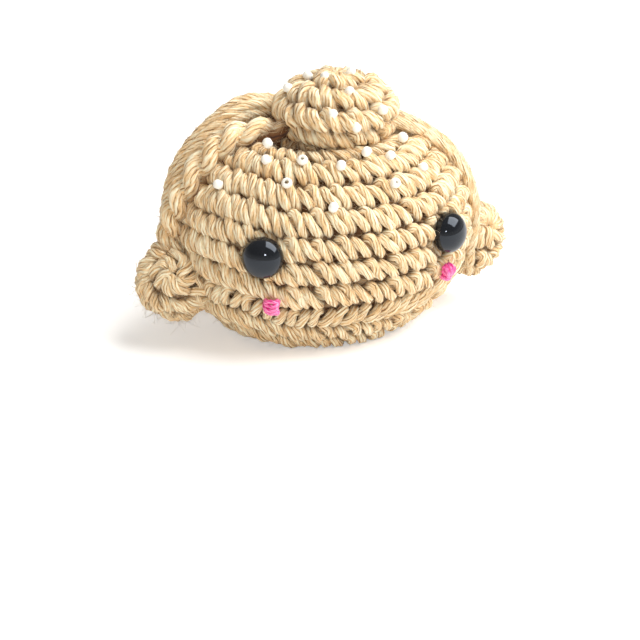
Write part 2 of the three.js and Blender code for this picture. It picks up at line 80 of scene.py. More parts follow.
# Body form, as in the solids
BODY_CENTRE = Vector((0, 0, 20.4)) * MM
BODY_HALF = Vector((30.5, 22.8, 24.7)) * MM

# Side the photograph was taken from
CAMERA_TURN = math.radians(21.5)
CAMERA_RISE = math.radians(22)
TO_CAMERA = Vector((
    -math.sin(CAMERA_TURN) * math.cos(CAMERA_RISE),
    -math.cos(CAMERA_TURN) * math.cos(CAMERA_RISE),
    math.sin(CAMERA_RISE),
))


def either_way(most):
    """Random amount of up to this much on either side of none."""
    return rng.uniform(-most, most)


def eased(share):
    """Soft step from none to one."""
    share = min(max(share, 0), 1)
    return share * share * (3 - 2 * share)


def stretched(vector, half):
    """Vector times the half sizes of an oval, axis by axis."""
    return Vector((vector.x * half.x, vector.y * half.y, vector.z * half.z))


def squeezed(vector, half):
    """Vector divided by the half sizes of an oval, axis by axis."""
    return Vector((vector.x / half.x, vector.y / half.y, vector.z / half.z))


def add_object(name, data):
    """New object in the scene."""
    made = bpy.data.objects.new(name, data)
    bpy.context.scene.collection.objects.link(made)
    return made


def finished_mesh(name, shape):
    """Mesh of a shape that needs no more edits."""
    mesh = bpy.data.meshes.new(name)
    shape.to_mesh(mesh)
    shape.free()
    return mesh


def final_mesh(holder):
    """Mesh that an object's curve or modifier gives, in place of the object."""
    depsgraph = bpy.context.evaluated_depsgraph_get()
    mesh = bpy.data.meshes.new_from_object(holder.evaluated_get(depsgraph), depsgraph=depsgraph)
    bpy.data.objects.remove(holder)
    return mesh


# Strands

PLIES = 4
PLY_RELIEF = 0.11
PLY_PITCH = 13 * MM
PLY_SIDES = 14
CORE_SIDES = 8
FUZZ_SIDES = 3
WELD = 1e-8


def smooth_path(knots, samples, closed):
    """Points of a smooth curve through the knots."""
    here = np.array(knots)
    if closed:
        before, after, beyond = np.roll(here, 1, 0), np.roll(here, -1, 0), np.roll(here, -2, 0)
    else:
        padded = np.vstack((here[:1], here, here[-1:]))
        before, here, after, beyond = padded[:-3], padded[1:-2], padded[2:-1], padded[3:]
    share = (np.arange(samples) / samples)[None, :, None]
    before, here, after, beyond = (side[:, None, :] for side in (before, here, after, beyond))
    slope = after - before
    bend = 2 * before - 5 * here + 4 * after - beyond
    sway = 3 * here - before - 3 * after + beyond
    points = here + 0.5 * (slope * share + bend * share**2 + sway * share**3)
    points = points.reshape(-1, 3)
    return points if closed else np.vstack((points, knots[-1]))


def strand_profile(name, sides, relief=0.0):
    """Cross-section of a strand with a radius of one, lobed where plies stand proud."""
    curve = bpy.data.curves.new(name, "CURVE")
    spline = curve.splines.new("POLY")
    spline.points.add(sides - 1)
    spline.use_cyclic_u = True
    for i, point in enumerate(spline.points):
        turn = -math.tau * i / sides
        reach = 1 - relief + relief * math.cos(PLIES * turn)
        point.co = (reach * math.cos(turn), reach * math.sin(turn), 0, 1)
    return add_object(name, curve)


def strand_mesh(strands, profile, pitch):
    """Mesh of strands. Each strand is its points, its radius and whether it is a closed loop."""
    curve = bpy.data.curves.new("strands", "CURVE")
    curve.dimensions = "3D"
    curve.bevel_mode = "OBJECT"
    curve.bevel_object = profile
    curve.use_fill_caps = True
    for points, radius, closed in strands:
        ends = np.vstack((points, points[:1])) if closed else points
        steps = np.linalg.norm(np.diff(ends, axis=0), axis=1)
        travel = np.concatenate(((0,), np.cumsum(steps)))
        twists = max(1, round(travel[-1] / pitch)) / travel[-1]
        spline = curve.splines.new("POLY")
        spline.points.add(len(points) - 1)
        spline.use_cyclic_u = closed
        rows = np.column_stack((points, np.ones(len(points))))
        spline.points.foreach_set("co", rows.ravel())
        spline.points.foreach_set("tilt", math.tau * twists * travel[:len(points)])
        spline.points.foreach_set("radius", np.full(len(points), radius))
    return final_mesh(add_object("strands", curve))


def piece(name, meshes, materials, body="bun"):
    """One object on a body from several meshes, each in the material of the same place in the list."""
    shape = bmesh.new()
    for index, mesh in enumerate(meshes):
        first = len(shape.faces)
        shape.from_mesh(mesh)
        shape.faces.ensure_lookup_table()
        for face in shape.faces[first:]:
            face.material_index = index
            face.smooth = True
    bmesh.ops.remove_doubles(shape, verts=shape.verts, dist=WELD)
    for vertex in shape.verts:
        vertex.co.z = max(vertex.co.z, 0)
    made = add_object(name, finished_mesh(name, shape))
    for material in materials:
        made.data.materials.append(material)
    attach(made, body)
    return made


# Surfaces: each gives a place by turn, latitude and height above the skin

def oval_place(centre, half, pole=UP):
    """Surface of an oval with its latitudes about a pole."""
    to_pole = UP.rotation_difference(pole).to_matrix()

    def place(turn, latitude, height):
        rise = math.radians(latitude)
        level = math.cos(rise)
        out = to_pole @ Vector((level * math.sin(turn), -level * math.cos(turn), math.sin(rise)))
        normal = squeezed(out, half).normalized()
        return centre + stretched(out, half) + normal * height

    return place


plain_body = oval_place(BODY_CENTRE, BODY_HALF)

# Dip of the crown round the knob, and the latitudes over which it falls
CROWN_DIP = 3.4 * MM
CROWN_EDGE = 50
CROWN_SLOPE = 16

# Degrees that the rows climb at the sides, by latitude, and how far round the climb sets in
SIDE_RISE_AT = (-90, -40, -22, 40, 62)
SIDE_RISE = (0, 10, 10, 3.5, 0)
SIDE_START = 0.45
SIDE_SPAN = 0.45

# Hollow that each eye presses into the yarn
EYE_JOINTS = [joint for joint in frame["joints"] if joint["child"].endswith("eye_set")]
EYE_PRESS = 1.6 * MM
EYE_REACH = 3.5 * MM
EYE_FADE = 1.0 * MM
EYE_BEHIND = -10 * MM


def crown_dip(latitude):
    """Depth of the crown's dip at a latitude."""
    return CROWN_DIP * eased((latitude - CROWN_EDGE) / CROWN_SLOPE)


def drawn_body(turn, latitude, height):
    """The body's skin, with the rows drawn up at the sides by the balls and strips."""
    draw = eased((abs(math.sin(turn)) - SIDE_START) / SIDE_SPAN)
    return plain_body(turn, latitude + draw * np.interp(latitude, SIDE_RISE_AT, SIDE_RISE), height)


def crowned_body(turn, latitude, height):
    """The body's skin, drawn down round the knob."""
    return drawn_body(turn, latitude, height - crown_dip(latitude))


def body_place(turn, latitude, height):
    """The body's skin, pressed in under the eyes."""
    point = crowned_body(turn, latitude, height)
    for joint in EYE_JOINTS:
        axis = Vector(joint["axis"])
        out = point - Vector(joint["pos_m"])
        ahead = out.dot(axis)
        aside = (out - axis * ahead).length
        if ahead > EYE_BEHIND and aside < EYE_REACH + EYE_FADE:
            point -= axis * EYE_PRESS * (1 - eased((aside - EYE_REACH) / EYE_FADE))
    return point


def base_place(turn, latitude, height):
    """The body's skin, flattened where the toy rests."""
    point = drawn_body(turn, latitude, height)
    point.z = max(point.z, -height)
    return point


# Crochet

YARN_RADIUS = 1.04 * MM
STITCH_WIDTH = 5.0 * MM
STITCH_SAMPLES = 2
FEWEST_STITCHES = 5
MOST_STITCHES = 99

# One stitch: place along the round in stitches, place down the row in rows, height in yarn radii
STITCH = (
    (-0.20, 0.36, -1.80),
    (-0.13, 0.11, -0.30),
    (0.02, 0.10, 0.20),
    (0.12, 0.32, 0.35),
    (0.22, 0.58, 0.25),
    (0.33, 0.81, -0.40),
    (0.36, 0.88, -2.00),
    (0.32, 0.40, -1.60),
    (0.43, 0.20, -0.05),
    (0.62, 0.45, 0.50),
    (0.84, 0.74, 0.30),
    (0.98, 0.88, -1.80),
)

# How far whole stitches and their single knots stray, in the same measures
STITCH_SLIP = 0.07
STITCH_SAG = 0.06
STITCH_SWELL = (-0.15, 0.2)
KNOT_STRAY = 0.03
KNOT_SWELL = 0.06

# Start of the first row and of each next one, in stitches
ROW_START = -0.12
ROW_LEAN = 0.07

# Cores that fill a row from behind and close the crease below it
BACKING_DEPTH = 2.0 * MM
BACKING_PLACE = 0.45
CREASE_DEPTH = 2.9 * MM
CORE_YARN = 1.15 * MM
CORE_STEP = 2.0 * MM
CORE_FEWEST_STEPS = 8
CORE_SWAY = 0.25
CORE_DRIFT = 0.6
GIRTH_STEP = 10

# Inner skins of the covers
SKIN_INSET = 1.9 * MM
SKIN_WALL = 0.4 * MM
FORM_SIDES = 48
FORM_RINGS = 32


def crochet_round(
        place, top, bottom, stitches, start,
        mirrored=False, yarn=YARN_RADIUS, loose=1.0, slant=0.0):
    """Strand of one round of stitches between two latitudes."""
    pattern = STITCH
    if mirrored:
        pattern = [(1 - across, down, lift) for across, down, lift in reversed(STITCH)]
    knots = []
    for stitch in range(stitches):
        slip = either_way(STITCH_SLIP) * loose
        sag = either_way(STITCH_SAG) * loose
        swell = rng.uniform(*STITCH_SWELL) * loose
        for across, down, lift in pattern:
            stray = either_way(KNOT_STRAY) * loose
            lean = slant * (down - 0.5)
            turn = math.tau * (stitch + start + across + lean + slip + stray) / stitches
            latitude = top + (bottom - top) * (down + sag + either_way(KNOT_STRAY) * loose)
            height = (lift + swell + either_way(KNOT_SWELL) - 1) * yarn
            knots.append(place(turn, latitude, height))
    return smooth_path(knots, STITCH_SAMPLES, True), yarn, True


def girth(place, latitude):
    """Length once round at a latitude."""
    points = [place(math.radians(turn), latitude, 0) for turn in range(0, 360, GIRTH_STEP)]
    return sum((points[i] - points[i - 1]).length for i in range(len(points)))


def round_core(place, latitude, deep):
    """Closed strand that lies below the stitches of a round."""
    steps = max(CORE_FEWEST_STEPS, round(girth(place, latitude) / CORE_STEP))
    points = []
    for step in range(steps):
        sway = either_way(CORE_SWAY) * MM
        points.append(place(math.tau * step / steps, latitude + either_way(CORE_DRIFT), sway - deep))
    return np.array(points), CORE_YARN, True


def crochet_rows(
        place, edges, loose=1.0, fewest=FEWEST_STITCHES, most=MOST_STITCHES,
        wide=STITCH_WIDTH, slant=0.0, yarn=YARN_RADIUS):
    """Strands of the rounds between the edges, and the cores below them."""
    strands = []
    cores = []
    start = ROW_START
    for top, bottom in zip(edges, edges[1:]):
        stitches = round(girth(place, (top + bottom) / 2) / wide)
        stitches = min(max(stitches, fewest), most)
        strands.append(crochet_round(
            place, top, bottom, stitches, start, yarn=yarn, loose=loose, slant=slant))
        cores.append(round_core(place, top + (bottom - top) * BACKING_PLACE, BACKING_DEPTH))
        cores.append(round_core(place, bottom, CREASE_DEPTH))
        start += ROW_LEAN
    return strands, cores


def shaped_ball(place, inset):
    """Closed form that follows a surface at a depth below its skin."""
    shape = bmesh.new()
    bmesh.ops.create_uvsphere(shape, u_segments=FORM_SIDES, v_segments=FORM_RINGS, radius=1)
    for vertex in shape.verts:
        latitude = math.degrees(math.asin(min(max(vertex.co.z, -1), 1)))
        vertex.co = place(math.atan2(vertex.co.x, -vertex.co.y), latitude, -inset)
    return shape


def cover_skin(place, cut_height=None, keep_above=True):
    """Inner face of a crocheted cover: a shell, open where it is cut."""
    shape = shaped_ball(place, SKIN_INSET)
    if cut_height is not None:
        bmesh.ops.bisect_plane(
            shape,
            geom=shape.verts[:] + shape.edges[:] + shape.faces[:],
            plane_co=(0, 0, cut_height),
            plane_no=UP,
            clear_inner=keep_above,
            clear_outer=not keep_above,
        )
    bmesh.ops.recalc_face_normals(shape, faces=shape.faces)
    holder = add_object("skin", finished_mesh("skin", shape))
    wall = holder.modifiers.new("wall", "SOLIDIFY")
    wall.thickness = SKIN_WALL
    return final_mesh(holder)


# Materials

# Spun fibre: plies that wander, streaks along them, fine flecks and a slow drift of shade. The ply lines are
# partly
# # painted light: dark grooves between plies as painted shade, bright crests as painted highlight
PLY_STRAY = 0.2
PLY_EDGE = 0.42
PLY_SHARE = 0.46
FLECK_SHARE = 0.14
STREAK_SPAN = (0.37, 0.63)
STREAK_SCALE = 420
STREAK_DETAIL = 3
WANDER_SCALE = 340
WANDER_DETAIL = 1
FLECK_SCALE = 2600
FLECK_DETAIL = 1
DRIFT_SCALE = 180
DRIFT_DETAIL = 2
DRIFT_SHARE = 0.3
SHADE_STOPS = (0.22, 0.53, 0.86)
BUMP_STRENGTH = 0.7
COAT_ROUGHNESS = 0.18
COAT_IOR = 1.8

# Painted shade: yarn darkens from a share of this depth below the skin on, and in the crown's dip from
# deeper down
PAINTED_SHADE_DEPTH = 2.1 * MM
PAINTED_SHADE_START = 0.18
DIP_SHARE = 0.5

# Mottle of moulded and glassy finishes, and its span of gloss
MOTTLE_DETAIL = 4
MOTTLE_GLOSS = (0.7, 1.5)


def new_material(name):
    """Material with its nodes and links."""
    material = bpy.data.materials.new(name)
    material.use_nodes = True
    return material, material.node_tree.nodes, material.node_tree.links


def math_node(nodes, operation, second=None):
    """Math node, with its second value where that is fixed."""
    node = nodes.new("ShaderNodeMath")
    node.operation = operation
    if second is not None:
        node.inputs[1].default_value = second
    return node


def noise_node(nodes, scale, detail):
    """Noise of a scale and a detail."""
    node = nodes.new("ShaderNodeTexNoise")
    node.inputs["Scale"].default_value = scale
    node.inputs["Detail"].default_value = detail
    return node


def range_node(nodes, given=(0, 1), wanted=(0, 1)):
    """Node that takes one span of values to another."""
    node = nodes.new("ShaderNodeMapRange")
    for name, value in zip(("From Min", "From Max", "To Min", "To Max"), (*given, *wanted)):
        node.inputs[name].default_value = value
    return node


def colour_mix(nodes, blend="MIX"):
    """Node that mixes two colours."""
    node = nodes.new("ShaderNodeMix")
    node.data_type = "RGBA"
    node.blend_type = blend
    return node


def fibre_group():
    """Plies and fine fibres along a strand, and slow drifts of shade over the piece."""
    group = bpy.data.node_groups.new("spun_fibre", "ShaderNodeTree")
    for name, way in (("Lines", "INPUT"), ("Plies", "INPUT"), ("Fibre", "OUTPUT"), ("Drift", "OUTPUT")):
        group.interface.new_socket(name, in_out=way, socket_type="NodeSocketFloat")
    nodes, links = group.nodes, group.links
    given = nodes.new("NodeGroupInput")
    result = nodes.new("NodeGroupOutput")
    uv = nodes.new("ShaderNodeUVMap")
    split = nodes.new("ShaderNodeSeparateXYZ")
    place = nodes.new("ShaderNodeTexCoord")
    links.new(uv.outputs["UV"], split.inputs["Vector"])

    lines = math_node(nodes, "MULTIPLY")
    around = nodes.new("ShaderNodeCombineXYZ")
    along = nodes.new("ShaderNodeVectorMath")
    along.operation = "SCALE"
    along.inputs["Scale"].default_value = STREAK_SCALE
    spot = nodes.new("ShaderNodeVectorMath")
    spot.operation = "ADD"
    fibre = noise_node(nodes, 1, STREAK_DETAIL)
    streak = range_node(nodes, STREAK_SPAN)
    links.new(split.outputs["Y"], lines.inputs[0])
    links.new(given.outputs["Lines"], lines.inputs[1])
    links.new(lines.outputs["Value"], around.inputs["X"])
    links.new(place.outputs["Object"], along.inputs[0])
    links.new(along.outputs["Vector"], spot.inputs[0])
    links.new(around.outputs["Vector"], spot.inputs[1])
    links.new(spot.outputs["Vector"], fibre.inputs["Vector"])
    links.new(fibre.outputs["Fac"], streak.inputs["Value"])

    # Ply lines: low in the grooves and high on the crests; the colour ramp makes them painted shade and
    # painted highlight
    wander = noise_node(nodes, WANDER_SCALE, WANDER_DETAIL)
    strayed = math_node(nodes, "MULTIPLY_ADD", PLY_STRAY)
    wave = math_node(nodes, "MULTIPLY")
    half_turns = math_node(nodes, "MULTIPLY", math.pi)
    sine = math_node(nodes, "SINE")
    crest = math_node(nodes, "ABSOLUTE")
    ply = math_node(nodes, "POWER", PLY_EDGE)
    links.new(place.outputs["Object"], wander.inputs["Vector"])
    links.new(wander.outputs["Fac"], strayed.inputs[0])
    links.new(split.outputs["Y"], strayed.inputs[2])
    links.new(strayed.outputs["Value"], wave.inputs[0])
    links.new(given.outputs["Plies"], wave.inputs[1])
    links.new(wave.outputs["Value"], half_turns.inputs[0])
    links.new(half_turns.outputs["Value"], sine.inputs[0])
    links.new(sine.outputs["Value"], crest.inputs[0])
    links.new(crest.outputs["Value"], ply.inputs[0])

    fleck = noise_node(nodes, FLECK_SCALE, FLECK_DETAIL)
    ply_share = math_node(nodes, "MULTIPLY", PLY_SHARE)
    with_fleck = math_node(nodes, "MULTIPLY_ADD", FLECK_SHARE)
    with_streak = math_node(nodes, "MULTIPLY_ADD", 1 - PLY_SHARE - FLECK_SHARE)
    links.new(place.outputs["Object"], fleck.inputs["Vector"])
    links.new(ply.outputs["Value"], ply_share.inputs[0])
    links.new(fleck.outputs["Fac"], with_fleck.inputs[0])
    links.new(ply_share.outputs["Value"], with_fleck.inputs[2])
    links.new(streak.outputs["Result"], with_streak.inputs[0])
    links.new(with_fleck.outputs["Value"], with_streak.inputs[2])
    links.new(with_streak.outputs["Value"], result.inputs["Fibre"])

    drift = noise_node(nodes, DRIFT_SCALE, DRIFT_DETAIL)
    links.new(place.outputs["Object"], drift.inputs["Vector"])
    links.new(drift.outputs["Fac"], result.inputs["Drift"])
    return group


spun_fibre = fibre_group()


def spun_material(name, shades, deep, roughness, sheen, lines, plies, relief, coat=0.0):
    """Yarn or floss: fibre lines in three shades with a matching relief, the dark shade partly painted shade
    in the ply grooves and the light one partly a painted highlight on the ply crests, and painted shade
    towards the deep colour where the yarn lies deep below the skin.
    """
    material, nodes, links = new_material(name)
    shader = nodes["Principled BSDF"]
    shader.inputs["Roughness"].default_value = roughness
    shader.inputs["Sheen Weight"].default_value = sheen
    shader.inputs["Coat Weight"].default_value = coat
    shader.inputs["Coat Roughness"].default_value = COAT_ROUGHNESS
    shader.inputs["Coat IOR"].default_value = COAT_IOR
    fibres = nodes.new("ShaderNodeGroup")
    fibres.node_tree = spun_fibre
    fibres.inputs["Lines"].default_value = lines
    fibres.inputs["Plies"].default_value = plies

    drifted = math_node(nodes, "MULTIPLY_ADD", DRIFT_SHARE)
    less = math_node(nodes, "SUBTRACT", DRIFT_SHARE / 2)
    ramp = nodes.new("ShaderNodeValToRGB")
    stops = ramp.color_ramp.elements
    stops.new(SHADE_STOPS[1])
    for stop, position, shade in zip(stops, SHADE_STOPS, shades):
        stop.position = position
        stop.color = (*shade, 1)
    links.new(fibres.outputs["Drift"], drifted.inputs[0])
    links.new(fibres.outputs["Fibre"], less.inputs[0])
    links.new(less.outputs["Value"], drifted.inputs[2])
    links.new(drifted.outputs["Value"], ramp.inputs["Fac"])

    # Painted shade in the creases: the colour is multiplied towards the deep colour by depth below the skin
    buried = nodes.new("ShaderNodeAttribute")
    buried.attribute_name = "buried"
    painted_shade_amount = range_node(nodes, (PAINTED_SHADE_START, 1))
    shadow = colour_mix(nodes, "MULTIPLY")
    shadow.inputs["B"].default_value = (*deep, 1)
    links.new(buried.outputs["Fac"], painted_shade_amount.inputs["Value"])
    links.new(painted_shade_amount.outputs["Result"], shadow.inputs["Factor"])
    links.new(ramp.outputs["Color"], shadow.inputs["A"])
    links.new(shadow.outputs["Result"], shader.inputs["Base Color"])

    bump = nodes.new("ShaderNodeBump")
    bump.inputs["Strength"].default_value = BUMP_STRENGTH
    bump.inputs["Distance"].default_value = relief
    links.new(fibres.outputs["Fibre"], bump.inputs["Height"])
    links.new(bump.outputs["Normal"], shader.inputs["Normal"])
    return material


def speckled_material(name, colour, second, roughness, speckle, coat=0.0, specular=0.5, tint=(1, 1, 1)):
    """Moulded or glassy finish with a faint mottle in shade and gloss."""
    material, nodes, links = new_material(name)
    shader = nodes["Principled BSDF"]
    shader.inputs["Coat Weight"].default_value = coat
    shader.inputs["Specular IOR Level"].default_value = specular
    shader.inputs["Specular Tint"].default_value = (*tint, 1)
    place = nodes.new("ShaderNodeTexCoord")
    mottle = noise_node(nodes, speckle, MOTTLE_DETAIL)
    shades = colour_mix(nodes)
    shades.inputs["A"].default_value = (*colour, 1)
    shades.inputs["B"].default_value = (*second, 1)
    gloss = range_node(nodes, wanted=[roughness * share for share in MOTTLE_GLOSS])
    links.new(place.outputs["Object"], mottle.inputs["Vector"])
    links.new(mottle.outputs["Fac"], shades.inputs["Factor"])
    links.new(mottle.outputs["Fac"], gloss.inputs["Value"])
    links.new(shades.outputs["Result"], shader.inputs["Base Color"])
    links.new(gloss.outputs["Result"], shader.inputs["Roughness"])
    return material


# Dark shade partly painted shade in the ply grooves, near-white light shade partly painted highlight on the
# crests
YARN = spun_material(
    "tan_yarn",
    shades=((0.19, 0.075, 0.022), (0.85, 0.555, 0.26), (1.0, 0.92, 0.67)),
    deep=(0.17, 0.09, 0.035),
    roughness=0.8,
    sheen=0.15,
    lines=22,
    plies=8,
    relief=0.4 * MM,
)
# Darker copy of the yarn on the covers' inner skins: painted shade seen through the holes between stitches
SHADED_INNER_YARN = spun_material(
    "inner_yarn",
    shades=((0.22, 0.115, 0.045), (0.32, 0.18, 0.08), (0.42, 0.26, 0.13)),
    deep=(0.6, 0.5, 0.45),
    roughness=0.9,
    sheen=0.0,
    lines=26,
    plies=0,
    relief=0.2 * MM,
)
# Paler copy of the yarn's tan for the fibre ends: painted light, so that thin ends in shade don't read dark
LIGHTENED_LOOSE_FIBRE = spun_material(
    "loose_fibre",
    shades=((0.78, 0.58, 0.36), (0.90, 0.71, 0.48), (0.96, 0.82, 0.60)),
    deep=(1, 1, 1),
    roughness=0.8,
    sheen=0.1,
    lines=1,
    plies=0,
    relief=0.01 * MM,
)
# Dark and light shades partly painted shade in the ply grooves and painted highlight on the ply crests
FLOSS = spun_material(
    "pink_floss",
    shades=((0.62, 0.005, 0.16), (0.90, 0.03, 0.30), (0.99, 0.20, 0.50)),
    deep=(0.5, 0.4, 0.4),
    roughness=0.3,
    sheen=0.0,
    lines=10,
    plies=4,
    relief=0.05 * MM,
    coat=1.0,
)
FILLING = speckled_material(
    "fibre_filling", (0.82, 0.81, 0.78), (0.9, 0.89, 0.87), roughness=0.8, speckle=300)
EYE_PLASTIC = speckled_material(
    "eye_plastic", (0.006, 0.007, 0.009), (0.011, 0.012, 0.015), roughness=0.07, speckle=400,
    specular=0.45, tint=(0.80, 0.88, 1.0))
WASHER_PLASTIC = speckled_material(
    "washer_plastic", (0.75, 0.76, 0.76), (0.82, 0.83, 0.83), roughness=0.35, speckle=300)
BEAD_GLASS = speckled_material(
    "bead_glass", (0.97, 0.93, 0.82), (1.0, 0.98, 0.92), roughness=0.35, speckle=500, coat=0.15)


# Yarn pieces

ply_profile = strand_profile("ply_profile", PLY_SIDES, PLY_RELIEF)
core_profile = strand_profile("core_profile", CORE_SIDES)
fuzz_profile = strand_profile("fuzz_profile", FUZZ_SIDES)


def mark_painted_shade_depth(made, centre, half, dip=None):
    """Stores how deep each point lies below an oval skin, from none at the skin to one, to set the painted
    shade.
    """
    places = np.empty(len(made.data.vertices) * 3)
    made.data.vertices.foreach_get("co", places)
    places = places.reshape(-1, 3)
    share = (places - np.array(centre)) / np.array(half)
    reach = np.linalg.norm(share, axis=1)
    depth = np.minimum((1 - reach) * min(half), places[:, 2])
    if dip:
        depth -= [DIP_SHARE * dip(math.degrees(math.asin(rise))) for rise in share[:, 2] / reach]
    buried = made.data.attributes.new("buried", "FLOAT", "POINT")
    buried.data.foreach_set("value", np.clip(depth / PAINTED_SHADE_DEPTH, 0, 1))


def crochet_piece(name, strands, cores, skins, *nodes, form=None):
    """Yarn on its cores and skins, in place of the solids it dresses, with painted shade by depth below a
    form.
    """
    meshes = [strand_mesh(strands, ply_profile, PLY_PITCH)]
    if cores:
        meshes.append(strand_mesh(cores, core_profile, PLY_PITCH))
    made = piece(name, meshes + skins, [YARN] * len(meshes) + [SHADED_INNER_YARN] * len(skins))
    if form:
        mark_painted_shade_depth(made, *form)
    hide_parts(*nodes)


# Body: row edges are latitudes from the crown down

DOME_ROWS = (75.0, 63.5, 51.5, 39.5, 27.7, 15.0, 3.2, -8.6, -21.7)
DOME_STITCHES = 36
DOME_STITCH_WIDTH = 4.2 * MM
DOME_SLANT = 0.2
SEAM_ROW = (-21.5, -35)
SEAM_START = 0.2
SEAM_HEIGHT = 6 * MM
BASE_ROWS = (-35, -48, -59, -68, -76, -83, -88)
# Oval and dip from which the body's yarn gets its painted shade
BODY_SHADE_FORM = (BODY_CENTRE, BODY_HALF, crown_dip)

dome_skin = cover_skin(crowned_body, SEAM_HEIGHT)
dome_rows = crochet_rows(
    body_place, DOME_ROWS, most=DOME_STITCHES, wide=DOME_STITCH_WIDTH, slant=DOME_SLANT)
crochet_piece("dome_crochet", *dome_rows, [dome_skin], "dome_cover", form=BODY_SHADE_FORM)

seam_strand = crochet_round(base_place, *SEAM_ROW, DOME_STITCHES, SEAM_START, mirrored=True)
crochet_piece("rim_seam_stitches", [seam_strand], [], [], "rim_seam_yarn", form=BODY_SHADE_FORM)

base_skin = cover_skin(base_place, SEAM_HEIGHT, keep_above=False)
base_rows = crochet_rows(base_place, BASE_ROWS)
crochet_piece("base_crochet", *base_rows, [base_skin], "base_cover", form=BODY_SHADE_FORM)


# Knob

KNOB_CENTRE = Vector((2.1, 0, 44.6)) * MM
KNOB_HALF = Vector((12.2, 12.0, 7.6)) * MM
KNOB_ROWS = (90, 62, 28, -10, -48, -74)
KNOB_SLANT = 0.2
KNOB_STITCH_WIDTH = 6.0 * MM
KNOB_YARN = 1.4 * MM
# Knob's oval grown by this share, so that more of its yarn gets painted shade
KNOB_SHADE = 1.06
KNOB_SHADE_FORM = (KNOB_CENTRE, KNOB_HALF * KNOB_SHADE)

knob_place = oval_place(KNOB_CENTRE, KNOB_HALF)
knob_skin = cover_skin(knob_place)
knob_rows = crochet_rows(
    knob_place, KNOB_ROWS, wide=KNOB_STITCH_WIDTH, slant=KNOB_SLANT, yarn=KNOB_YARN)
crochet_piece("knob_crochet", *knob_rows, [knob_skin], "top_knob_cover", form=KNOB_SHADE_FORM)


# Balls

BALL_CENTRES = {"left": Vector((-31.0, 0, 13.3)) * MM, "right": Vector((31.3, 0, 14.2)) * MM}
BALL_HALF = Vector((1, 1, 1)) * 7.8 * MM
BALL_POLE = Vector((0.34, -0.72, 0.5))
BALL_ROWS = (84, 46, 10, -26, -60, -85)
BALL_SLANT = 0.2
BALL_STITCH_WIDTH = 4.6 * MM
BALL_FEWEST_STITCHES = 4
BALL_LOOSE = 2.0

ball_places = {}
for side, sign in SIDES:
    pole = Vector((sign * BALL_POLE.x, BALL_POLE.y, BALL_POLE.z)).normalized()
    ball_place = oval_place(BALL_CENTRES[side], BALL_HALF, pole)
    ball_skin = cover_skin(ball_place)
    rows = crochet_rows(
        ball_place, BALL_ROWS, BALL_LOOSE, BALL_FEWEST_STITCHES, wide=BALL_STITCH_WIDTH, slant=BALL_SLANT)
    # Oval from which the ball's yarn gets its painted shade
    form = (BALL_CENTRES[side], BALL_HALF)
    crochet_piece(f"{side}_ball_crochet", *rows, [ball_skin], f"{side}_ball_cover", form=form)
    ball_places[side] = ball_place


# Strips: two ridges each, from the knob down to the ball

class Ridge(NamedTuple):
    """One ridge, in degrees up the dome's side and in millimetres.

    Climb and depth to the rear are at its head and foot, and its crest above the dome is at the head, below
    the head and at the foot. Reach is half its width. Without turns of a rope its strands lie along it.
    """
    climb: tuple
    depth: tuple
    crest: tuple
    reach: float
    yarn: float
    turns: float = 0


RIDGES = {
    "left": (
        Ridge((74, -4), (-1.0, 1.8), (1.3, 4.7, 4.3), reach=3.1, yarn=1.7, turns=-3.9),
        Ridge((88, -4), (6.6, 6.8), (1.5, 6.0, 3.2), reach=2.9, yarn=1.3),
    ),
    "right": (
        Ridge((76, -16), (-5.0, -7.6), (1.8, 1.9, 1.9), reach=1.2, yarn=0.85),
        Ridge((76, -16), (-2.4, -5.0), (2.0, 2.2, 2.2), reach=1.4, yarn=0.95),
    ),
}

# Shares of a ridge's length for its rise below the head and its rounded ends, and the width left at its tips
RIDGE_RISE = 0.3
RIDGE_END = 0.05
RIDGE_TIP = 0.5

# Cores in the middle and at the root of a ridge, as shares of its reach
RIDGE_CORE_STEPS = 40
CORE_SHARE = 0.55
ROOT_DEPTH = 0.75

# Strands laid along a ridge: angles from its crest, their slow twist and their sway and rise in waves
LAID_SIDES = (112, 58, 0, -58, -112)
LAID_STEPS = 60
LAID_TWIST = 50
LAID_SWAY = 9
LAID_SWAY_WAVES = 9
LAID_RISE = 0.12
LAID_RISE_WAVES = 14

# Strands wound as a rope: sway in turns and stray in yarn radii
ROPE_STRANDS = 2
ROPE_STEPS = 14
ROPE_SWAY = 0.06
ROPE_SWAY_WAVES = 11
ROPE_STRAY = 0.08

# Height above the dome below which a strip's yarn gets painted shade
STRIP_SHADE = {"left": 1.9 * MM, "right": 1.0 * MM}


def ridge_place(sign, ridge):
    """Surface of a ridge by share along it, angle from its crest and height."""
    head, foot = ridge.climb
    head_depth, foot_depth = ridge.depth
    head_crest, crest, foot_crest = ridge.crest

    def place(along, around, height):
        climb = math.radians(head + (foot - head) * along)
        depth = (head_depth + (foot_depth - head_depth) * along) * MM
        girdle = math.sqrt(1 - (depth / BODY_HALF.y) ** 2)
        over = Vector((sign * math.cos(climb) * girdle, depth / BODY_HALF.y, math.sin(climb) * girdle))
        skin = stretched(over, BODY_HALF) + BODY_CENTRE
        out = squeezed(over, BODY_HALF).normalized()
        rear = (REAR - out * out.y).normalized()
        end = min(1, math.sqrt(min(along, 1 - along) / RIDGE_END))
        lift = head_crest + (crest - head_crest) * eased(along / RIDGE_RISE) - ridge.reach
        lift += (foot_crest - crest) * eased((along - RIDGE_RISE) / (1 - RIDGE_RISE))
        spread = math.radians(around)
        far = max(ridge.reach * MM * (RIDGE_TIP + (1 - RIDGE_TIP) * end) + height, 0)
        return skin + out * lift * MM + (out * math.cos(spread) + rear * math.sin(spread)) * far

    return place


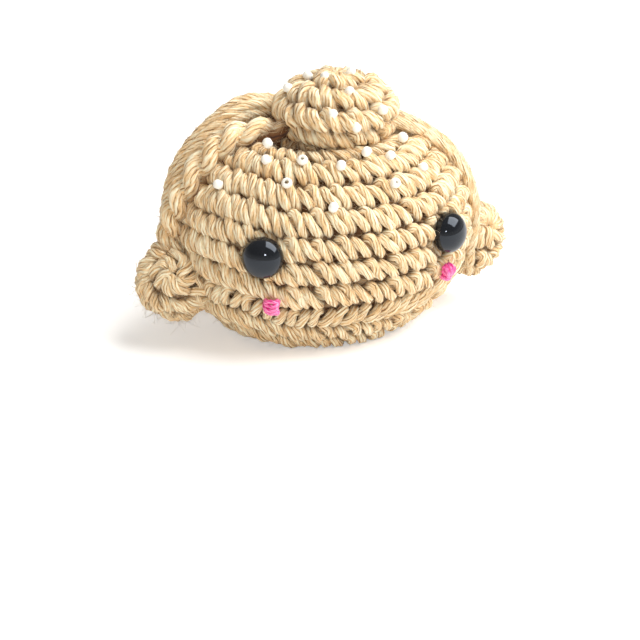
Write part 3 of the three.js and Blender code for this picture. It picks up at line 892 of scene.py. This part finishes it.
def laid_strand(place, side, yarn):
    """Strand that runs along a ridge with a slow, uneven twist."""
    points = []
    phase = rng.uniform(0, math.tau)
    for step in range(LAID_STEPS + 1):
        along = step / LAID_STEPS
        around = side + LAID_TWIST * (along - 0.5) + LAID_SWAY * math.sin(LAID_SWAY_WAVES * along + phase)
        rise = LAID_RISE * math.sin(LAID_RISE_WAVES * along + phase)
        points.append(place(along, around, (rise - 1) * yarn))
    return np.array(points), yarn, False


def rope_strand(place, phase, turns, yarn):
    """One strand of a rope that winds along a ridge."""
    points = []
    steps = round(abs(turns) * ROPE_STEPS)
    for step in range(steps + 1):
        along = step / steps
        around = 360 * (phase + turns * along + ROPE_SWAY * math.sin(ROPE_SWAY_WAVES * along))
        points.append(place(along, around, (either_way(ROPE_STRAY) - 1) * yarn))
    return np.array(points), yarn, False


def ridge_core(place, around, height, radius):
    """Plain strand that runs along inside a ridge."""
    shares = [step / RIDGE_CORE_STEPS for step in range(RIDGE_CORE_STEPS + 1)]
    return np.array([place(along, around, height) for along in shares]), radius, False


def ridge_strands(sign, ridge):
    """Strands of one ridge, and the cores they lie on, down to the dome."""
    place = ridge_place(sign, ridge)
    reach = ridge.reach * MM
    yarn = ridge.yarn * MM
    if ridge.turns:
        phases = [strand / ROPE_STRANDS for strand in range(ROPE_STRANDS)]
        strands = [rope_strand(place, phase, ridge.turns, yarn) for phase in phases]
    else:
        strands = [laid_strand(place, side, yarn) for side in LAID_SIDES]
    core = ridge_core(place, 0, -reach, reach * CORE_SHARE)
    root = ridge_core(place, 180, (ROOT_DEPTH - 1) * reach, reach * CORE_SHARE)
    return strands, [core, root]


for side, sign in SIDES:
    strands = []
    cores = []
    for ridge in RIDGES[side]:
        wound, below = ridge_strands(sign, ridge)
        strands += wound
        cores += below
    # Oval grown by the strip's shade height: painted shade under and beside the ridges
    form = (BODY_CENTRE, BODY_HALF + Vector((1, 1, 1)) * STRIP_SHADE[side])
    crochet_piece(f"{side}_strip_crochet", strands, cores, [], f"{side}_strip", form=form)


# Sewing yarn: overcast stitches in the creases under the knob and beside the balls

SEWING_YARN = 0.6 * MM
SEWING_COIL = 0.45 * MM
SEWING_STEPS = 8
BALL_COILS = 13
BALL_RING_INSET = 3 * SEWING_YARN
KNOB_COILS = 15
KNOB_RING_INSET = 2 * SEWING_YARN


def overcast_ring(centre, axis, radius, coils):
    """Closed coil of yarn wound along a circle."""
    aside = axis.orthogonal().normalized()
    other = axis.cross(aside)
    steps = coils * SEWING_STEPS
    points = []
    for step in range(steps):
        turn = math.tau * step / steps
        out = aside * math.cos(turn) + other * math.sin(turn)
        wind = turn * coils
        reach = radius + SEWING_COIL * math.cos(wind)
        points.append(centre + out * reach + axis * SEWING_COIL * math.sin(wind))
    return np.array(points), SEWING_YARN, True


for side, sign in SIDES:
    low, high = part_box(f"{side}_ball_sewing_yarn")
    ring_centre = Vector(((low.x + high.x) / 2, 0, (low.z + high.z) / 2))
    ring = overcast_ring(ring_centre, RIGHT * sign, (high.z - low.z) / 2 - BALL_RING_INSET, BALL_COILS)
    crochet_piece(f"{side}_ball_sewing_stitches", [ring], [], [], f"{side}_ball_sewing_yarn")

low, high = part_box("top_knob_sewing_yarn")
ring = overcast_ring((low + high) / 2, UP, (high.x - low.x) / 2 - KNOB_RING_INSET, KNOB_COILS)
crochet_piece("knob_sewing_stitches", [ring], [], [], "top_knob_sewing_yarn")


# Fillings

FILLING_INSET = 3.6 * MM
BODY_FILLING_INSET = FILLING_INSET + 2 * MM
FILLING_STRAY = 0.25
FILLING_SMOOTH = 0.5


def filling(name, place, inset, node):
    """Uneven padding that follows the inside of a cover."""
    shape = shaped_ball(place, inset)
    for vertex in shape.verts:
        vertex.co += vertex.normal * either_way(FILLING_STRAY) * MM
    bmesh.ops.smooth_vert(
        shape,
        verts=shape.verts,
        factor=FILLING_SMOOTH,
        use_axis_x=True,
        use_axis_y=True,
        use_axis_z=True,
    )
    bmesh.ops.recalc_face_normals(shape, faces=shape.faces)
    made = piece(name, [finished_mesh(name, shape)], [FILLING])
    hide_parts(node)


filling("body_filling", base_place, BODY_FILLING_INSET, "body_stuffing")
filling("knob_filling", knob_place, FILLING_INSET, "top_knob_stuffing")
for side, ball_place in ball_places.items():
    filling(f"{side}_ball_filling", ball_place, FILLING_INSET, f"{side}_ball_stuffing")


# Eyes: glossy domes with their ridged stems

EYE_RADIUS = 4.0 * MM
EYE_DOME = 3.05 * MM
EYE_SHOULDER = 0.15 * MM
EYE_BACK = -0.8 * MM
EYE_BEVEL = 0.2 * MM
EYE_STEPS = 16
EYE_SIDES = 64
STEM_RADIUS = 1.6 * MM
STEM_END = -11.3 * MM
STEM_TIP = 0.8
STEM_TAPER = 0.4 * MM
STEM_RIDGES = 4
STEM_RIDGE = 0.25 * MM
STEM_RIDGE_SLOPE = 0.3 * MM
STEM_RIDGE_STEP = 0.1 * MM
TURNED_WELD = 1e-7


def turned(profile, axis, origin, sides):
    """Mesh of a profile of radius and height, turned about an axis."""
    shape = bmesh.new()
    line = [shape.verts.new((radius, 0, height)) for radius, height in profile]
    edges = [shape.edges.new(pair) for pair in zip(line, line[1:])]
    if profile[0][0] > 0:
        edges.append(shape.edges.new((line[-1], line[0])))
    bmesh.ops.spin(
        shape,
        geom=line + edges,
        cent=(0, 0, 0),
        axis=UP,
        angle=math.tau,
        steps=sides,
        use_merge=True,
    )
    bmesh.ops.remove_doubles(shape, verts=shape.verts, dist=TURNED_WELD)
    bmesh.ops.recalc_face_normals(shape, faces=shape.faces)
    stand = UP.rotation_difference(axis).to_matrix().to_4x4()
    bmesh.ops.transform(shape, matrix=Matrix.Translation(origin) @ stand, verts=shape.verts)
    return finished_mesh("turned", shape)


def eye_profile():
    """Line from the end of an eye's stem, over its ridges and round the dome to the tip."""
    ridge_step = (EYE_BACK - STEM_END) / (STEM_RIDGES + 1)
    profile = [(0, STEM_END), (STEM_RADIUS * STEM_TIP, STEM_END), (STEM_RADIUS, STEM_END + STEM_TAPER)]
    for ridge in range(STEM_RIDGES):
        height = STEM_END + ridge_step * (ridge + 1)
        profile += [
            (STEM_RADIUS, height - STEM_RIDGE_SLOPE),
            (STEM_RADIUS + STEM_RIDGE, height),
            (STEM_RADIUS, height + STEM_RIDGE_STEP),
        ]
    profile += [
        (STEM_RADIUS, EYE_BACK - EYE_BEVEL),
        (STEM_RADIUS + EYE_BEVEL, EYE_BACK),
        (EYE_RADIUS - EYE_BEVEL, EYE_BACK),
        (EYE_RADIUS, EYE_BACK + EYE_BEVEL),
        (EYE_RADIUS, 0),
    ]
    for step in range(EYE_STEPS):
        rise = math.pi / 2 * step / EYE_STEPS
        profile.append((EYE_RADIUS * math.cos(rise), EYE_SHOULDER + EYE_DOME * math.sin(rise)))
    profile.append((0, EYE_SHOULDER + EYE_DOME))
    return profile


for joint in EYE_JOINTS:
    eye = joint["child"].replace("_set", "")
    mesh = turned(eye_profile(), Vector(joint["axis"]), Vector(joint["pos_m"]), EYE_SIDES)
    made = piece(f"{eye}_moulding", [mesh], [EYE_PLASTIC], joint["child"])
    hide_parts(eye)
    washer = frame["nodes"][f"{eye}_washer"]
    washer.data.materials.clear()
    washer.data.materials.append(WASHER_PLASTIC)


# Cheeks: knots of shiny floss, with their strands in millimetres right, up and out from the middle

LEFT_KNOT = (
    ((-1.1, 0.9, -0.6), (-0.95, 1.15, 0.4), (0.0, 1.5, 0.6), (0.9, 1.3, 0.5), (1.1, 1.0, -0.6)),
    ((-1.2, 0.9, -0.6), (-0.9, 0.75, 0.5), (0.2, 0.6, 1.0), (1.2, 0.8, 0.6), (1.4, 0.9, -0.6)),
    ((-1.4, 0.1, -0.6), (-1.2, -0.05, 0.5), (-0.2, -0.3, 1.1), (1.0, 0.05, 0.9), (1.3, 0.2, -0.6)),
    ((-1.3, -0.6, -0.6), (-1.05, -0.8, 0.5), (-0.1, -1.2, 0.9), (0.8, -0.8, 0.9), (0.9, -0.6, -0.6)),
    ((0.7, -0.5, -0.6), (1.2, -0.6, 0.6), (1.35, -1.1, 0.6), (0.9, -1.5, 0.4), (0.4, -1.5, -0.6)),
)
RIGHT_KNOT = (
    ((-0.9, 1.1, -0.6), (-0.9, 1.0, 0.45), (-0.8, 0.3, 0.75), (-0.6, -0.3, 0.35), (-0.5, -0.6, -0.6)),
    ((-0.3, 1.45, -0.6), (-0.3, 1.3, 0.8), (-0.25, 0.5, 1.05), (-0.15, -0.3, 0.5), (-0.1, -0.65, -0.6)),
    ((0.5, 1.5, -0.6), (0.5, 1.35, 0.95), (0.4, 0.5, 1.2), (0.3, -0.3, 0.7), (0.2, -0.65, -0.6)),
    ((-0.9, 0.3, -0.6), (-0.8, 0.1, 0.5), (-0.6, -0.4, 0.75), (-0.35, -0.8, 0.5), (-0.3, -0.9, -0.6)),
    ((-1.0, -1.0, -0.6), (-0.9, -1.05, 0.4), (-0.2, -1.2, 0.75), (0.6, -1.1, 0.5), (0.8, -0.95, -0.6)),
)
KNOTS = {"left": LEFT_KNOT, "right": RIGHT_KNOT}

# Place of each knot right and up of the solid's, and its depth below the solid's outermost point
KNOT_SHIFT = {"left": (0.35, -0.35), "right": (-0.35, -0.2)}
KNOT_DEPTH = 1.4
FLOSS_RADIUS = 0.44 * MM
FLOSS_PITCH = 4 * MM
FLOSS_SAMPLES = 4


def floss_knot(lines, centre, right, up, out):
    """Shiny strands of a knot, their ends sunk in the yarn."""
    strands = []
    for line in lines:
        knots = [centre + (right * x + up * y + out * z) * MM for x, y, z in line]
        strands.append((smooth_path(knots, FLOSS_SAMPLES, False), FLOSS_RADIUS, False))
    return strands


for side, lines in KNOTS.items():
    node = f"{side}_cheek_knot"
    corners = [vertex.co.copy() for vertex in frame["nodes"][node].data.vertices]
    outermost = max(corners, key=lambda corner: (corner - BODY_CENTRE).length)
    out = outermost - BODY_CENTRE
    normal = Vector((
        out.x / BODY_HALF.x**2,
        out.y / BODY_HALF.y**2,
        out.z / BODY_HALF.z**2,
    )).normalized()
    right = UP.cross(normal).normalized()
    up = normal.cross(right)
    right_by, up_by = KNOT_SHIFT[side]
    middle = outermost - normal * KNOT_DEPTH * MM + (right * right_by + up * up_by) * MM
    knot = strand_mesh(floss_knot(lines, middle, right, up, normal), ply_profile, FLOSS_PITCH)
    made = piece(f"{side}_cheek_floss", [knot], [FLOSS])
    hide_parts(node)


# Sugar: seed beads

BEAD_RADIUS = 1.06 * MM
BEAD_HOLE = 0.46 * MM
BEAD_LENGTH = 2.0 * MM
BEAD_STEPS = 12
BEAD_SIDES = 20
BEAD_SUNK = 0.5 * MM

# Beads whose hole faces outwards by this share or more keep it, the others lie with it across the view
BEAD_FACING = 0.8

# Where a bead belongs to the knob: above this share of its lower half and within this share of its width
KNOB_BEADS_DOWN = 0.4
KNOB_BEADS_ASIDE = 1.3


def bead_profile():
    """Round wall of a bead from one end of its hole to the other."""
    edge = math.acos(BEAD_HOLE / BEAD_RADIUS)
    points = []
    for step in range(BEAD_STEPS + 1):
        rise = edge * (2 * step / BEAD_STEPS - 1)
        points.append((BEAD_RADIUS * math.cos(rise), BEAD_LENGTH / 2 * math.sin(rise)))
    return points


def bead_out(place):
    """Direction out of the knob or the dome at a bead."""
    from_knob = place - KNOB_CENTRE
    above = place.z > KNOB_CENTRE.z - KNOB_HALF.z * KNOB_BEADS_DOWN
    if above and from_knob.length < KNOB_HALF.x * KNOB_BEADS_ASIDE:
        return from_knob.normalized()
    return (place - BODY_CENTRE).normalized()


beads = [name for name in sorted(frame["nodes"]) if name.startswith("sugar_bead")]
meshes = []
for bead in beads:
    corners = np.array([vertex.co for vertex in frame["nodes"][bead].data.vertices])
    axis = Vector(np.linalg.eigh(np.cov(corners.T))[1][:, -1])
    low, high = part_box(bead)
    middle = (low + high) / 2
    out = bead_out(middle)
    if abs(axis.dot(out)) < BEAD_FACING:
        axis = TO_CAMERA.cross(out).normalized()
    meshes.append(turned(bead_profile(), axis, middle - out * BEAD_SUNK, BEAD_SIDES))
made = piece("sugar_beads", meshes, [BEAD_GLASS] * len(meshes))
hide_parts(*beads)


# Fuzz: loose fibre ends that stand off the yarn

FUZZ_PIECES = {
    "dome_crochet": 13000,
    "rim_seam_stitches": 3000,
    "base_crochet": 1500,
    "knob_crochet": 7000,
    "left_ball_crochet": 5000,
    "right_ball_crochet": 3500,
    "left_strip_crochet": 3500,
    "right_strip_crochet": 1200,
}
FUZZ_RADIUS = 0.022 * MM
FUZZ_PITCH = 1.0
FUZZ_ROOT = 0.1
FUZZ_LENGTH = (0.8 * MM, 3.0 * MM)
FUZZ_KNOTS = (0, 0.5, 1)

# Bend of a fibre end: its lean, its curl, how much it droops, and what shortens the bent line to its length
FUZZ_LEAN = (0.3, 1.4)
FUZZ_CURL = 0.6
FUZZ_DROOP = 0.35
FUZZ_SPREAD = 1.4


def fuzz_strand(start, normal):
    """A bent fibre end that leaves the yarn at a slant."""
    aside = normal.orthogonal()
    aside.rotate(Matrix.Rotation(rng.uniform(0, math.tau), 3, normal))
    length = rng.uniform(*FUZZ_LENGTH)
    lean = rng.uniform(*FUZZ_LEAN)
    curl = either_way(FUZZ_CURL)
    other = normal.cross(aside)
    knots = []
    for share in FUZZ_KNOTS:
        rise = normal * share * (1 - FUZZ_DROOP * share)
        out = rise + aside * lean * share + other * curl * share * share
        knots.append(start + out * length / FUZZ_SPREAD)
    return np.array(knots), FUZZ_RADIUS, False


for name, count in FUZZ_PIECES.items():
    mesh = bpy.data.objects[name].data
    hairs = []
    for index in rng.choices(range(len(mesh.vertices)), k=count):
        vertex = mesh.vertices[index]
        hairs.append(fuzz_strand(vertex.co - vertex.normal * FUZZ_ROOT * MM, vertex.normal))
    fuzz = piece(f"{name}_fuzz", [strand_mesh(hairs, fuzz_profile, FUZZ_PITCH)], [LIGHTENED_LOOSE_FIBRE])

for profile in (ply_profile, core_profile, fuzz_profile):
    bpy.data.objects.remove(profile)


# Stage

FLOOR_SIZE = 3
FLOOR_DROP = 0.1 * MM
FLOOR_COLOUR = (0.93, 0.925, 0.915, 1)
FLOOR_ROUGHNESS = 0.9
FLOOR_GLOW = 0.36
SKY_COLOUR = (1, 0.95, 0.88, 1)
SKY_FADE = (0, 0.35)
SKY_STRENGTH = (0.95, 0.3)


def stage_floor():
    """Pale floor that glows only where it is seen or mirrored."""
    shape = bmesh.new()
    bmesh.ops.create_grid(shape, x_segments=1, y_segments=1, size=FLOOR_SIZE)
    floor = add_object("floor", finished_mesh("floor", shape))
    floor.location.z = -FLOOR_DROP
    material, nodes, links = new_material("pale_floor")
    shader = nodes["Principled BSDF"]
    shader.inputs["Base Color"].default_value = FLOOR_COLOUR
    shader.inputs["Roughness"].default_value = FLOOR_ROUGHNESS
    seen = nodes.new("ShaderNodeLightPath")
    mirrored = math_node(nodes, "MAXIMUM")
    shown = math_node(nodes, "MAXIMUM")
    strength = math_node(nodes, "MULTIPLY", FLOOR_GLOW)
    glow = nodes.new("ShaderNodeEmission")
    both = nodes.new("ShaderNodeAddShader")
    links.new(seen.outputs["Is Glossy Ray"], mirrored.inputs[0])
    links.new(seen.outputs["Is Transmission Ray"], mirrored.inputs[1])
    links.new(seen.outputs["Is Camera Ray"], shown.inputs[0])
    links.new(mirrored.outputs["Value"], shown.inputs[1])
    links.new(shown.outputs["Value"], strength.inputs[0])
    links.new(strength.outputs["Value"], glow.inputs["Strength"])
    links.new(shader.outputs["BSDF"], both.inputs[0])
    links.new(glow.outputs["Emission"], both.inputs[1])
    links.new(both.outputs["Shader"], nodes["Material Output"].inputs["Surface"])
    floor.data.materials.append(material)
    floor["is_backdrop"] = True


def soft_lamp(name, place, size, power):
    """Square lamp that faces the toy."""
    lamp = bpy.data.lights.new(name, "AREA")
    lamp.shape = "SQUARE"
    lamp.size = size
    lamp.energy = power
    holder = add_object(name, lamp)
    holder.location = place
    holder.rotation_euler = (BODY_CENTRE - Vector(place)).to_track_quat("-Z", "Y").to_euler()


def studio_sky():
    """Warm light from all round that fades overhead."""
    world = bpy.data.worlds.new("studio")
    bpy.context.scene.world = world
    world.use_nodes = True
    nodes, links = world.node_tree.nodes, world.node_tree.links
    direction = nodes.new("ShaderNodeTexCoord")
    height = nodes.new("ShaderNodeSeparateXYZ")
    fade = range_node(nodes, SKY_FADE, SKY_STRENGTH)
    sky = nodes["Background"]
    sky.inputs["Color"].default_value = SKY_COLOUR
    links.new(direction.outputs["Generated"], height.inputs["Vector"])
    links.new(height.outputs["Z"], fade.inputs["Value"])
    links.new(fade.outputs["Result"], sky.inputs["Strength"])


stage_floor()
soft_lamp("window", place=(0.41, -0.17, 0.69), size=0.75, power=11.3)
soft_lamp("room", place=(-0.20, -0.60, 0.30), size=0.06, power=0.7)
studio_sky()
bpy.context.scene.view_settings.view_transform = "Standard"


# Camera

CAMERA_ROLL = math.radians(0.8)
CAMERA_DISTANCE = 0.42
CAMERA_SENSOR = 36
CAMERA_LENS = 118.1
CAMERA_CLIP = 10 * MM
AIM_RIGHT = -0.6 * MM
AIM_UP = -18.8 * MM

level_right = Vector((math.cos(CAMERA_TURN), -math.sin(CAMERA_TURN), 0))
level_up = TO_CAMERA.cross(level_right)
aim = BODY_CENTRE + level_right * AIM_RIGHT + level_up * AIM_UP
camera_data = bpy.data.cameras.new("camera")
camera_data.sensor_width = CAMERA_SENSOR
camera_data.lens = CAMERA_LENS
camera_data.clip_start = CAMERA_CLIP
camera = add_object("camera", camera_data)
camera.location = BODY_CENTRE + TO_CAMERA * CAMERA_DISTANCE
look = (aim - camera.location).normalized().to_track_quat("-Z", "Y")
camera.rotation_mode = "QUATERNION"
camera.rotation_quaternion = look @ Matrix.Rotation(CAMERA_ROLL, 3, "Z").to_quaternion()
bpy.context.scene.camera = camera

low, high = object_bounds()
